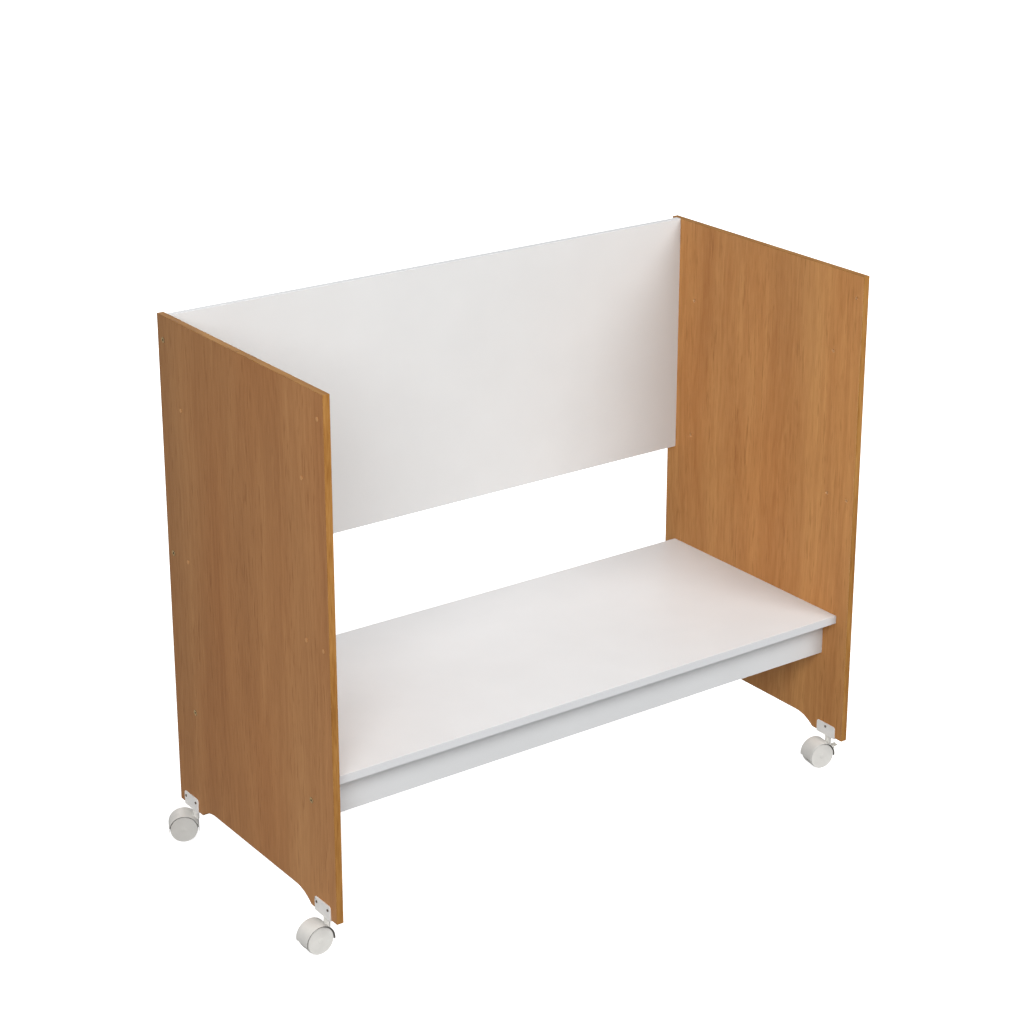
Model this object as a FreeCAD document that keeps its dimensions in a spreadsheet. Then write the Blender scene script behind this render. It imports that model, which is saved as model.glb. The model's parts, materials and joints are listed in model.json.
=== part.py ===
import FreeCAD, Part
import os

import Sketcher

# Mobile study carrel: two wood-grain side panels, a privacy panel, a desktop on two aprons, and
# four hooded twin-wheel casters on saddle brackets.
# Frame: millimetres, +Z up, the user sits on the -Y side. The origin is on the floor, in the
# middle of the carcass. Heights in the sheet are above the feet of the side panels.

DIMENSIONS = {
    # carcass
    "overall_width": 1363,
    "side_depth": 643,
    "side_height": 1100,
    "board_thick": 15,
    "band_thick": 1,
    "floor_gap": 75,
    "foot_length": 98,
    "arch_radius": 85,
    "arch_rise": 22,
    "back_bottom": 537,
    "back_inset": 14.5,
    "desk_top": 300,
    "desk_thick": 18,
    "desk_front": 36,
    "desk_depth": 571,
    "apron_inset": 85,
    "apron_bottom": 195,
    # connector bolts, barrel nuts, dowels and hole plugs
    "bolt_hole_radius": 3.5,
    "bolt_radius": 3,
    "bolt_length": 50,
    "bolt_head_radius": 6,
    "bolt_head_thick": 2.5,
    "bolt_head_sink": 2,
    "bolt_hex_radius": 2.3,
    "bolt_hex_depth": 1.8,
    "bolt_end_gap": 1,
    "back_bolt_low": 582,
    "back_bolt_high": 1048,
    "shelf_hole_low": 582,
    "shelf_hole_high": 914,
    "edge_hole_inset": 22,
    "nut_radius": 5,
    "nut_length": 12,
    "nut_depth": 34,
    "nut_sink": 0.5,
    "nut_slot_width": 1.2,
    "nut_slot_depth": 1,
    "dowel_radius": 4,
    "dowel_length": 30,
    "dowel_in_side": 10,
    "apron_dowel_step": 28,
    "back_dowel_low": 700,
    "back_dowel_high": 930,
    "plug_radius": 4.5,
    "plug_thick": 0.8,
    # angle brackets under the desktop
    "angle_leg": 30,
    "angle_width": 20,
    "angle_thick": 2,
    "angle_place": 420,
    "angle_hole_share": 0.6,
    "screw_radius": 1.6,
    "screw_length": 12,
    "screw_head_radius": 2.8,
    "screw_head_thick": 1.6,
    "cross_length": 3,
    "cross_width": 0.8,
    "cross_depth": 1,
    # saddle brackets
    "saddle_length": 59,
    "saddle_thick": 2.5,
    "saddle_outer": 29.5,
    "saddle_inner": 27,
    "saddle_corner": 6,
    "saddle_screw_step": 21,
    "saddle_screw_high": 19.5,
    # casters
    "caster_inset": 51,
    "stem_radius": 4,
    "stem_head_radius": 5.5,
    "stem_head_thick": 2.4,
    "stem_pocket_radius": 6,
    "stem_pocket_depth": 3,
    "stem_length": 21,
    "stem_end_gap": 0.5,
    "stem_chamfer": 0.5,
    "neck_radius": 7,
    "neck_top": 3,
    "neck_bottom": 30,
    "fit_gap": 0.05,
    "snap_groove": 0.6,
    "snap_ridge": 0.3,
    "snap_width": 1.4,
    "snap_gap": 0.3,
    "snap_root": 0.5,
    "stem_snap_inset": 5,
    "trail": 27,
    "wheel_drop": 45,
    "wheel_radius": 30,
    "wheel_width": 15.5,
    "wheel_rim_thick": 4.5,
    "wheel_disc_thick": 4,
    "wheel_hub_radius": 7,
    "wheel_edge_radius": 3,
    "wheel_chamfer": 1,
    "wheel_lip": 3.5,
    "wheel_recess": 0.5,
    "wheel_boss_radius": 5.5,
    "hood_radius": 33,
    "hood_wall": 1.4,
    "hood_half_width": 21.5,
    "hood_skirt": 4.6,
    "web_half": 4,
    "web_boss": 9,
    "axle_radius": 2.5,
    "axle_half": 18,
    "axle_end_gap": 0.4,
    "axle_snap_inset": 3,
    "wheel_gap": 0.5,
    # brake levers
    "brake_pin_x": 10,
    "brake_pin_z": 36,
    "brake_pin_radius": 1.5,
    "brake_ear_radius": 4,
    "brake_ear_thick": 2,
    "brake_ear_root": 2,
    "brake_window_near": 2,
    "brake_window_far": 6,
    "brake_window_up": 5.5,
    "brake_window_down": 9,
    "brake_hub_radius": 3.2,
    "brake_width": 12,
    "brake_pedal_reach": 22,
    "brake_pedal_thick": 3,
    "brake_pedal_rise": 2.2,
    "brake_slot_depth": 6,
    "brake_slot_half": 1.6,
    "brake_shoe_gap": 1.2,
    "brake_shoe_drop": 5,
    "brake_shoe_half": 1.5,
    "brake_shoe_thick": 3,
    "brake_shoe_lean": 0.4,
    # rest angles of the casters about their stems
    "front_left_turn": 0,
    "front_right_turn": -10,
    "rear_left_turn": -27,
    "rear_right_turn": 207,
}

# Expressions that several pieces share.
HALF_WIDTH = "(dims.overall_width / 2)"
HALF_GAP = "(dims.overall_width / 2 - dims.board_thick)"
HALF_DEPTH = "(dims.side_depth / 2)"
FEET = "dims.floor_gap"
TOP = "(dims.floor_gap + dims.side_height)"
BACK_FACE = f"({HALF_DEPTH} - dims.back_inset)"
BACK_MIDDLE = f"({BACK_FACE} - dims.board_thick / 2)"
APRON_MIDDLE = f"({HALF_DEPTH} - dims.apron_inset)"
APRON_TOP = "(dims.floor_gap + dims.desk_top - dims.desk_thick)"
APRON_BOTTOM = "(dims.floor_gap + dims.apron_bottom)"
APRON_CENTRE = f"(({APRON_TOP} + {APRON_BOTTOM}) / 2)"
DESK_FRONT = f"(dims.desk_front - {HALF_DEPTH})"
DESK_REAR = f"({DESK_FRONT} + dims.desk_depth)"
FOOT_MIDDLE = "(dims.overall_width / 2 - dims.board_thick / 2)"
CASTER_Y = f"({HALF_DEPTH} - dims.caster_inset)"
DOWEL_IN_BOARD = "(dims.dowel_length - dims.dowel_in_side)"

SIDES = {"left": -1, "right": 1}
ENDS = {"front": -1, "rear": 1}

doc = FreeCAD.newDocument("study_carrel")
sheet = doc.addObject("Spreadsheet::Sheet", "dims")
for row, (alias, size) in enumerate(DIMENSIONS.items(), start=1):
    sheet.set(f"A{row}", alias)
    sheet.set(f"B{row}", str(size))
    sheet.setAlias(f"B{row}", alias)
doc.recompute()
ruler = doc.addObject("Part::Feature", "ruler")

pieces = []


def number(expression):
    """The value of an expression over the sheet's cells."""
    return float(ruler.evalExpression(str(expression)))


def piece(item, label):
    """Registers an object as a sub-part: its label names its file."""
    item.Label = label
    pieces.append(item)
    return item


def place(item, x="0", y="0", z="0"):
    """Binds an object's position to expressions."""
    for axis, expression in zip("xyz", (x, y, z)):
        item.setExpression(f"Placement.Base.{axis}", str(expression))


# ---------------------------------------------------------------- PartDesign helpers


def new_body(label):
    return piece(doc.addObject("PartDesign::Body", label), label)


def sketch_on(body, role, offset="0"):
    """A sketch on one of the body's origin planes, moved along the plane's normal."""
    plane = next(item for item in body.Origin.OriginFeatures if item.Role == role)
    sketch = body.newObject("Sketcher::SketchObject", f"{body.Name}_sketch")
    sketch.AttachmentSupport = [(plane, "")]
    sketch.MapMode = "FlatFace"
    sketch.setExpression("AttachmentOffset.Base.z", str(offset))
    return sketch


def hold(sketch, kind, *target, size):
    """Adds a driving dimension and binds it to an expression."""
    index = sketch.addConstraint(Sketcher.Constraint(kind, *target, number(size)))
    sketch.setExpression(f"Constraints[{index}]", str(size))


def outline(sketch, corners, arcs=None):
    """A closed outline through corners, given as expressions.

    arcs maps the index of a side to (radius, centre x, centre y); other sides are straight.
    """
    arcs = arcs or {}
    points = [FreeCAD.Vector(number(x), number(y), 0) for x, y in corners]
    first = sketch.GeometryCount
    count = len(points)
    starts = []
    for side, start in enumerate(points):
        end = points[(side + 1) % count]
        index = first + side
        if side in arcs:
            radius, centre_x, centre_y = arcs[side]
            centre = FreeCAD.Vector(number(centre_x), number(centre_y), 0)
            sketch.addGeometry(minor_arc(centre, number(radius), start, end))
            starts.append((index, start_point(sketch, index, start)))
            hold(sketch, "Radius", index, size=radius)
        else:
            sketch.addGeometry(Part.LineSegment(start, end))
            starts.append((index, 1))
    for side, (index, at) in enumerate(starts):
        next_index, next_at = starts[(side + 1) % count]
        far = 2 if at == 1 else 1
        sketch.addConstraint(Sketcher.Constraint("Coincident", index, far, next_index, next_at))
    for (index, at), (x, y) in zip(starts, corners):
        hold(sketch, "DistanceX", -1, 1, index, at, size=x)
        hold(sketch, "DistanceY", -1, 1, index, at, size=y)


def minor_arc(centre, radius, start, end):
    """The shorter arc between two points of a circle, drawn counter-clockwise."""
    middle = (start + end) * 0.5 - centre
    middle = centre + middle.normalize() * radius
    return Part.Arc(start, middle, end)


def start_point(sketch, index, point):
    """Which end of an arc, 1 or 2, lies at a point."""
    near = sketch.getPoint(index, 1).distanceToPoint(point)
    far = sketch.getPoint(index, 2).distanceToPoint(point)
    return 1 if near < far else 2


def circles(sketch, centres, radius):
    """Circles of one radius at centres given as expressions."""
    for x, y in centres:
        centre = FreeCAD.Vector(number(x), number(y), 0)
        index = sketch.addGeometry(Part.Circle(centre, FreeCAD.Vector(0, 0, 1), number(radius)))
        hold(sketch, "DistanceX", -1, 1, index, 3, size=x)
        hold(sketch, "DistanceY", -1, 1, index, 3, size=y)
        hold(sketch, "Radius", index, size=radius)


def extrude(body, kind, sketch, length, reverse=False, middle=False):
    """A Pad or a Pocket; a Pocket that removes nothing is an error."""
    doc.recompute()
    before = body.Shape.Volume if body.Tip else 0
    feature = body.newObject(f"PartDesign::{kind}", f"{body.Name}_{kind.lower()}")
    feature.Profile = sketch
    feature.setExpression("Length", str(length))
    feature.Reversed = reverse
    if middle:
        feature.SideType = "Symmetric"
    sketch.Visibility = False
    doc.recompute()
    change = body.Shape.Volume - before
    if (change <= 0) == (kind == "Pad"):
        raise RuntimeError(f"{feature.Name} changes the volume by {change:.3f}")
    return feature


def turn(body, kind, sketch, axis_role):
    """A Revolution or a Groove, a full turn about one of the body's origin axes."""
    axis = next(item for item in body.Origin.OriginFeatures if item.Role == axis_role)
    feature = body.newObject(f"PartDesign::{kind}", f"{body.Name}_{kind.lower()}")
    feature.Profile = sketch
    feature.ReferenceAxis = (axis, [""])
    feature.Angle = 360
    sketch.Visibility = False
    doc.recompute()
    return feature


def round_edges(body, radius, chosen):
    """Fillets the edges of the body's tip that the test picks."""
    doc.recompute()
    tip = body.Tip
    names = [f"Edge{n}" for n, edge in enumerate(tip.Shape.Edges, start=1) if chosen(edge)]
    fillet = body.newObject("PartDesign::Fillet", f"{body.Name}_fillet")
    fillet.Base = (tip, names)
    fillet.setExpression("Radius", str(radius))
    doc.recompute()
    return fillet


def rectangle(low_x, low_y, high_x, high_y):
    return [(low_x, low_y), (high_x, low_y), (high_x, high_y), (low_x, high_y)]


# ---------------------------------------------------------------- Part helpers


def primitive(kind, name, sizes, at=("0", "0", "0"), axis=None, angle=0):
    """A Part primitive with bound sizes and place, turned about an axis."""
    solid = doc.addObject(f"Part::{kind}", name)
    if axis:
        rotation = FreeCAD.Rotation(FreeCAD.Vector(*axis), angle)
        solid.Placement = FreeCAD.Placement(FreeCAD.Vector(), rotation)
    for size, expression in sizes.items():
        solid.setExpression(size, str(expression))
    place(solid, *at)
    return solid


def cylinder(name, radius, length, at=("0", "0", "0"), axis=None, angle=0):
    return primitive("Cylinder", name, {"Radius": radius, "Height": length}, at, axis, angle)


def box(name, length, width, height, at=("0", "0", "0")):
    return primitive("Box", name, {"Length": length, "Width": width, "Height": height}, at)


def fuse(name, shapes):
    joined = doc.addObject("Part::MultiFuse", name)
    joined.Shapes = shapes
    joined.Refine = True
    return joined


def cut(name, base, tool):
    result = doc.addObject("Part::Cut", name)
    result.Base = base
    result.Tool = tool
    return result


def group(label, members):
    """Identical pieces that share one node, each still a solid of its own."""
    compound = doc.addObject("Part::Compound", label)
    compound.Links = members
    return piece(compound, label)


def turned(item, axis, angle, at):
    """Turns a finished fastener from its own frame and binds its place."""
    item.Placement = FreeCAD.Placement(FreeCAD.Vector(), FreeCAD.Rotation(FreeCAD.Vector(*axis), angle))
    place(item, *at)
    return item


# ---------------------------------------------------------------- side panels

# Centre of the arch's left round, in the side panel's own Y and Z.
ARCH_DROP = "(dims.arch_radius - dims.arch_rise)"
ARCH_CENTRE = f"({HALF_DEPTH} - dims.foot_length - sqrt(dims.arch_radius ^ 2 - {ARCH_DROP} ^ 2))"


def side_outline(sketch, inset):
    """The side panel's outline with its arched foot, inset all round."""
    reach = f"({HALF_DEPTH} - {inset})"
    radius = f"(dims.arch_radius + {inset})"
    foot = f"({FEET} + {inset})"
    arch = f"({FEET} + dims.arch_rise + {inset})"
    crown = ARCH_CENTRE
    toe = f"({ARCH_CENTRE} + sqrt({radius} ^ 2 - ({ARCH_DROP} + {inset}) ^ 2))"
    roof = f"({TOP} - {inset})"
    corners = [
        (f"-{reach}", foot),
        (f"-{toe}", foot),
        (f"-{crown}", arch),
        (crown, arch),
        (toe, foot),
        (reach, foot),
        (reach, roof),
        (f"-{reach}", roof),
    ]
    centre_z = f"({FEET} - {ARCH_DROP})"
    arcs = {1: (radius, f"-{crown}", centre_z), 3: (radius, crown, centre_z)}
    outline(sketch, corners, arcs)


BOLT_PLACES = [
    (BACK_MIDDLE, f"({FEET} + dims.back_bolt_low)"),
    (BACK_MIDDLE, f"({FEET} + dims.back_bolt_high)"),
    (f"-{APRON_MIDDLE}", APRON_CENTRE),
    (APRON_MIDDLE, APRON_CENTRE),
]
SPARE_PLACES = [
    (f"-({HALF_DEPTH} - dims.edge_hole_inset)", f"({FEET} + dims.back_bolt_low)"),
    (f"-({HALF_DEPTH} - dims.edge_hole_inset)", f"({FEET} + dims.back_bolt_high)"),
    (f"-{APRON_MIDDLE}", f"({FEET} + dims.shelf_hole_low)"),
    (APRON_MIDDLE, f"({FEET} + dims.shelf_hole_low)"),
    (f"-{APRON_MIDDLE}", f"({FEET} + dims.shelf_hole_high)"),
    (APRON_MIDDLE, f"({FEET} + dims.shelf_hole_high)"),
]
APRON_DOWELS = [
    (f"{end} * {APRON_MIDDLE}", f"({APRON_CENTRE} + {step} * dims.apron_dowel_step)")
    for end in ENDS.values()
    for step in (-1, 1)
]
BACK_DOWELS = [
    (BACK_MIDDLE, f"({FEET} + dims.back_dowel_low)"),
    (BACK_MIDDLE, f"({FEET} + dims.back_dowel_high)"),
]
SADDLE_SCREW_Z = f"({FEET} + dims.saddle_screw_high)"
SADDLE_OUTER_SCREWS = [
    (f"({end} * {CASTER_Y} + {step} * dims.saddle_screw_step)", SADDLE_SCREW_Z)
    for end in ENDS.values()
    for step in (-1, 1)
]
SADDLE_INNER_SCREWS = [(f"{end} * {CASTER_Y}", SADDLE_SCREW_Z) for end in ENDS.values()]


def side_panel(name, side):
    """A side board: side is -1 on the left and 1 on the right."""
    body = new_body(f"{name}_side_panel")
    outer = f"{side} * {HALF_WIDTH}"
    inner = f"{side} * {HALF_GAP}"
    right = side > 0
    sketch = sketch_on(body, "YZ_Plane", outer)
    side_outline(sketch, "dims.band_thick")
    extrude(body, "Pad", sketch, "dims.board_thick", reverse=right)

    sketch = sketch_on(body, "YZ_Plane", outer)
    circles(sketch, BOLT_PLACES + SPARE_PLACES, "dims.bolt_hole_radius")
    extrude(body, "Pocket", sketch, "dims.board_thick", reverse=not right)
    sketch = sketch_on(body, "YZ_Plane", outer)
    circles(sketch, BOLT_PLACES, "(dims.bolt_head_radius + dims.snap_gap)")
    extrude(body, "Pocket", sketch, "dims.bolt_head_sink", reverse=not right)
    sketch = sketch_on(body, "YZ_Plane", inner)
    circles(sketch, APRON_DOWELS + BACK_DOWELS, "dims.dowel_radius")
    extrude(body, "Pocket", sketch, "dims.dowel_in_side", reverse=right)

    sketch = sketch_on(body, "YZ_Plane", outer)
    circles(sketch, SADDLE_OUTER_SCREWS, "dims.screw_radius")
    bite = "(dims.screw_length - dims.saddle_thick)"
    extrude(body, "Pocket", sketch, bite, reverse=not right)
    sketch = sketch_on(body, "YZ_Plane", inner)
    circles(sketch, SADDLE_INNER_SCREWS, "dims.screw_radius")
    extrude(body, "Pocket", sketch, bite, reverse=right)
    stem_pockets(body, side)


def stem_pockets(body, side):
    """Round pockets in the feet for the heads of the caster stems."""
    sketch = sketch_on(body, "XY_Plane", FEET)
    centres = [(f"{side} * {FOOT_MIDDLE}", f"{end} * {CASTER_Y}") for end in ENDS.values()]
    circles(sketch, centres, "dims.stem_pocket_radius")
    extrude(body, "Pocket", sketch, "dims.stem_pocket_depth", reverse=True)


def side_band(name, side):
    """The edge band that wraps the whole outline of a side board."""
    body = new_body(f"{name}_side_edge_band")
    sketch = sketch_on(body, "YZ_Plane", f"{side} * {HALF_WIDTH}")
    side_outline(sketch, "0")
    side_outline(sketch, "dims.band_thick")
    extrude(body, "Pad", sketch, "dims.board_thick", reverse=side > 0)
    stem_pockets(body, side)


# ---------------------------------------------------------------- boards between the side panels


def cross_board(label, low_y, low_z, high_y, high_z):
    """A board that runs from one side panel to the other, drawn by its section."""
    body = new_body(label)
    sketch = sketch_on(body, "YZ_Plane")
    outline(sketch, rectangle(low_y, low_z, high_y, high_z))
    extrude(body, "Pad", sketch, f"2 * {HALF_GAP}", middle=True)
    return body


def drill_ends(body, centres, radius, depth):
    """Holes bored into both ends of a cross board."""
    for side in SIDES.values():
        sketch = sketch_on(body, "YZ_Plane", f"{side} * {HALF_GAP}")
        circles(sketch, centres, radius)
        extrude(body, "Pocket", sketch, depth, reverse=side < 0)


BOLT_BORE = "(dims.bolt_length - dims.board_thick + dims.bolt_end_gap)"
NUT_X = f"({HALF_GAP} - dims.nut_depth)"


def nut_bores(body, face_y, heights, into_minus_y):
    """Blind bores for barrel nuts, sunk from the board's hidden face."""
    # A sketch on the XZ plane looks along -Y, so its offset is the negative of y.
    sketch = sketch_on(body, "XZ_Plane", f"-({face_y})")
    centres = [(f"{side} * {NUT_X}", z) for side in SIDES.values() for z in heights]
    circles(sketch, centres, "dims.nut_radius")
    extrude(body, "Pocket", sketch, "(dims.nut_length + dims.nut_sink)", reverse=into_minus_y)


def back_panel():
    low = f"({FEET} + dims.back_bottom + dims.band_thick)"
    high = f"({TOP} - dims.band_thick)"
    body = cross_board("back_panel", f"({BACK_FACE} - dims.board_thick)", low, BACK_FACE, high)
    bolts = BOLT_PLACES[:2]
    drill_ends(body, bolts, "dims.bolt_hole_radius", BOLT_BORE)
    drill_ends(body, BACK_DOWELS, "dims.dowel_radius", DOWEL_IN_BOARD)
    nut_bores(body, BACK_FACE, [z for _, z in bolts], into_minus_y=True)


def apron(name, end):
    middle = f"{end} * {APRON_MIDDLE}"
    low_y = f"({middle} - dims.board_thick / 2)"
    high_y = f"({middle} + dims.board_thick / 2)"
    low_z = f"({APRON_BOTTOM} + dims.band_thick)"
    body = cross_board(f"{name}_apron", low_y, low_z, high_y, APRON_TOP)
    drill_ends(body, [(middle, APRON_CENTRE)], "dims.bolt_hole_radius", BOLT_BORE)
    dowels = [(y, z) for y, z in APRON_DOWELS if y.startswith(f"{end} ")]
    drill_ends(body, dowels, "dims.dowel_radius", DOWEL_IN_BOARD)
    front = end < 0
    nut_bores(body, high_y if front else low_y, [APRON_CENTRE], into_minus_y=front)
    # Pilot holes for the screws of the two angle brackets on the apron's inner face.
    sketch = sketch_on(body, "XZ_Plane", f"-({high_y if front else low_y})")
    centres = [(f"{side} * dims.angle_place", ANGLE_SCREW_Z) for side in SIDES.values()]
    circles(sketch, centres, "dims.screw_radius")
    bite = "(dims.screw_length - dims.angle_thick)"
    extrude(body, "Pocket", sketch, bite, reverse=front)


ANGLE_REACH = "dims.angle_leg * dims.angle_hole_share"
ANGLE_SCREW_Z = f"({APRON_TOP} - {ANGLE_REACH})"
ANGLE_SCREW_OUT = f"({APRON_MIDDLE} - dims.board_thick / 2 - {ANGLE_REACH})"


def desktop():
    low_y = f"({DESK_FRONT} + dims.band_thick)"
    high_y = f"({DESK_REAR} - dims.band_thick)"
    body = cross_board("desktop", low_y, APRON_TOP, high_y, f"({FEET} + dims.desk_top)")
    sketch = sketch_on(body, "XY_Plane", APRON_TOP)
    centres = [
        (f"{side} * dims.angle_place", f"{end} * {ANGLE_SCREW_OUT}")
        for side in SIDES.values()
        for end in ENDS.values()
    ]
    circles(sketch, centres, "dims.screw_radius")
    bite = "(dims.screw_length - dims.angle_thick)"
    extrude(body, "Pocket", sketch, bite, reverse=True)


def band_strip(name, low_y, low_z, width, height):
    at = (f"-{HALF_GAP}", low_y, low_z)
    return box(name, f"2 * {HALF_GAP}", width, height, at)


def cross_bands():
    """Edge bands on the edges of the cross boards that stay open to view."""
    low_y = f"({BACK_FACE} - dims.board_thick)"
    lows = [f"({FEET} + dims.back_bottom)", f"({TOP} - dims.band_thick)"]
    strips = [
        band_strip(f"back_strip_{n}", low_y, z, "dims.board_thick", "dims.band_thick")
        for n, z in enumerate(lows)
    ]
    group("back_panel_edge_bands", strips)
    strips = [
        band_strip(f"desk_strip_{n}", y, APRON_TOP, "dims.band_thick", "dims.desk_thick")
        for n, y in enumerate([DESK_FRONT, f"({DESK_REAR} - dims.band_thick)"])
    ]
    group("desktop_edge_bands", strips)
    strips = []
    for name, end in ENDS.items():
        low_y = f"({end} * {APRON_MIDDLE} - dims.board_thick / 2)"
        size = ("dims.board_thick", "dims.band_thick")
        strips.append(band_strip(f"{name}_apron_strip", low_y, APRON_BOTTOM, *size))
    group("apron_edge_bands", strips)


# ---------------------------------------------------------------- fasteners


def connector_bolt(name, side, y, z):
    """A flat-headed bolt with a hex socket, driven in from outside a side panel."""
    rise = "(dims.bolt_head_thick - dims.bolt_head_sink)"
    head = cylinder(f"{name}_head", "dims.bolt_head_radius", "dims.bolt_head_thick")
    shank = cylinder(f"{name}_shank", "dims.bolt_radius", "dims.bolt_length")
    solid = fuse(f"{name}_solid", [head, shank])
    hexagon = {"Circumradius": "dims.bolt_hex_radius", "Height": "dims.bolt_hex_depth"}
    socket = primitive("Prism", f"{name}_socket", hexagon)
    socket.Polygon = 6
    bolt = cut(name, solid, socket)
    x = f"{side} * ({HALF_WIDTH} + {rise})"
    return turned(bolt, (0, 1, 0), -90 * side, (x, y, z))


def bolts_and_plugs():
    for name, side in SIDES.items():
        bolts = [
            connector_bolt(f"{name}_bolt_{n}", side, y, z)
            for n, (y, z) in enumerate(BOLT_PLACES)
        ]
        group(f"{name}_connector_bolts", bolts)
        plugs = []
        for n, (y, z) in enumerate(SPARE_PLACES):
            at = (f"{side} * {HALF_WIDTH}", y, z)
            size = ("dims.plug_radius", "dims.plug_thick")
            plugs.append(cylinder(f"{name}_cap_{n}", *size, at, (0, 1, 0), 90 * side))
        group(f"{name}_hole_caps", plugs)


def barrel_nut(name, side, face_y, z, into_minus_y):
    """A cross dowel: a drum with a cross hole for its bolt and a screwdriver slot."""
    drum = cylinder(f"{name}_drum", "dims.nut_radius", "dims.nut_length")
    hole_at = ("-dims.nut_radius", "0", "dims.nut_length + dims.nut_sink - dims.board_thick / 2")
    hole = cylinder(f"{name}_hole", "dims.bolt_radius", "2 * dims.nut_radius", hole_at, (0, 1, 0), 90)
    slot_at = ("-dims.nut_radius", "-dims.nut_slot_width / 2", "dims.nut_length - dims.nut_slot_depth")
    slot_size = ("2 * dims.nut_radius", "dims.nut_slot_width", "2 * dims.nut_slot_depth")
    slot = box(f"{name}_slot", *slot_size, slot_at)
    nut = cut(name, drum, fuse(f"{name}_cuts", [hole, slot]))
    sign = 1 if into_minus_y else -1
    sunk = f"({face_y} - {sign} * (dims.nut_length + dims.nut_sink))"
    return turned(nut, (1, 0, 0), -90 * sign, (f"{side} * {NUT_X}", sunk, z))


def nuts_and_dowels():
    nuts = []
    dowels = {"apron": [], "back_panel": []}
    for name, side in SIDES.items():
        for n, (_, z) in enumerate(BOLT_PLACES[:2]):
            nuts.append(barrel_nut(f"{name}_back_nut_{n}", side, BACK_FACE, z, True))
        for end_name, end in ENDS.items():
            face_y = f"({end} * ({APRON_MIDDLE} - dims.board_thick / 2))"
            label = f"{name}_{end_name}_apron_nut"
            nuts.append(barrel_nut(label, side, face_y, APRON_CENTRE, end < 0))
        for board, places in (("apron", APRON_DOWELS), ("back_panel", BACK_DOWELS)):
            for n, (y, z) in enumerate(places):
                at = (f"{side} * ({HALF_GAP} - {DOWEL_IN_BOARD})", y, z)
                size = ("dims.dowel_radius", "dims.dowel_length")
                peg = cylinder(f"{name}_{board}_dowel_{n}", *size, at, (0, 1, 0), 90 * side)
                dowels[board].append(peg)
    group("barrel_nuts", nuts)
    for board, pegs in dowels.items():
        group(f"{board}_dowels", pegs)


def pan_screw(name, axis, angle, at):
    """A pan-headed wood screw; in its own frame the head's seat is at z = 0, the tip above."""
    head_at = ("0", "0", "-dims.screw_head_thick")
    head = cylinder(f"{name}_head", "dims.screw_head_radius", "dims.screw_head_thick", head_at)
    shank = cylinder(f"{name}_shank", "dims.screw_radius", "dims.screw_length")
    bars = []
    arms = ("dims.cross_length", "dims.cross_width")
    for n, (length, width) in enumerate([arms, arms[::-1]]):
        corner = (f"-{length} / 2", f"-{width} / 2", "-dims.screw_head_thick")
        bars.append(box(f"{name}_bar_{n}", length, width, "dims.cross_depth", corner))
    solid = fuse(f"{name}_solid", [head, shank])
    screw = cut(name, solid, fuse(f"{name}_recess", bars))
    return turned(screw, axis, angle, at)


def angle_brackets():
    """Steel angles that tie the desktop down to the inner faces of the aprons."""
    angles = []
    screws = []
    for side_name, side in SIDES.items():
        for end_name, end in ENDS.items():
            name = f"{side_name}_{end_name}_angle"
            face_y = f"({end} * ({APRON_MIDDLE} - dims.board_thick / 2))"
            low_x = f"({side} * dims.angle_place - dims.angle_width / 2)"
            front = end < 0
            upright_y = face_y if front else f"({face_y} - dims.angle_thick)"
            flat_y = face_y if front else f"({face_y} - dims.angle_leg)"
            upright_at = (low_x, upright_y, f"({APRON_TOP} - dims.angle_leg)")
            leg_size = ("dims.angle_width", "dims.angle_thick", "dims.angle_leg")
            upright = box(f"{name}_up", *leg_size, upright_at)
            flat_at = (low_x, flat_y, f"({APRON_TOP} - dims.angle_thick)")
            flat_size = ("dims.angle_width", "dims.angle_leg", "dims.angle_thick")
            flat = box(f"{name}_flat", *flat_size, flat_at)
            x = f"{side} * dims.angle_place"
            into_apron = (x, f"({face_y} - {end} * dims.angle_thick)", ANGLE_SCREW_Z)
            into_desk = (x, f"{end} * {ANGLE_SCREW_OUT}", f"({APRON_TOP} - dims.angle_thick)")
            hole_size = ("dims.screw_radius", "2 * dims.angle_thick")
            across = cylinder(f"{name}_hole_a", *hole_size, into_apron, (1, 0, 0), -90 * end)
            upward = cylinder(f"{name}_hole_b", *hole_size, into_desk)
            holes = fuse(f"{name}_holes", [across, upward])
            angles.append(cut(name, fuse(f"{name}_solid", [upright, flat]), holes))
            screws.append(pan_screw(f"{name}_screw_a", (1, 0, 0), -90 * end, into_apron))
            screws.append(pan_screw(f"{name}_screw_b", (1, 0, 0), 0, into_desk))
    group("desktop_angle_brackets", angles)
    group("desktop_bracket_screws", screws)


# ---------------------------------------------------------------- saddle brackets


NEAR = 0.01  # mm, two places closer than this are the same


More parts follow.
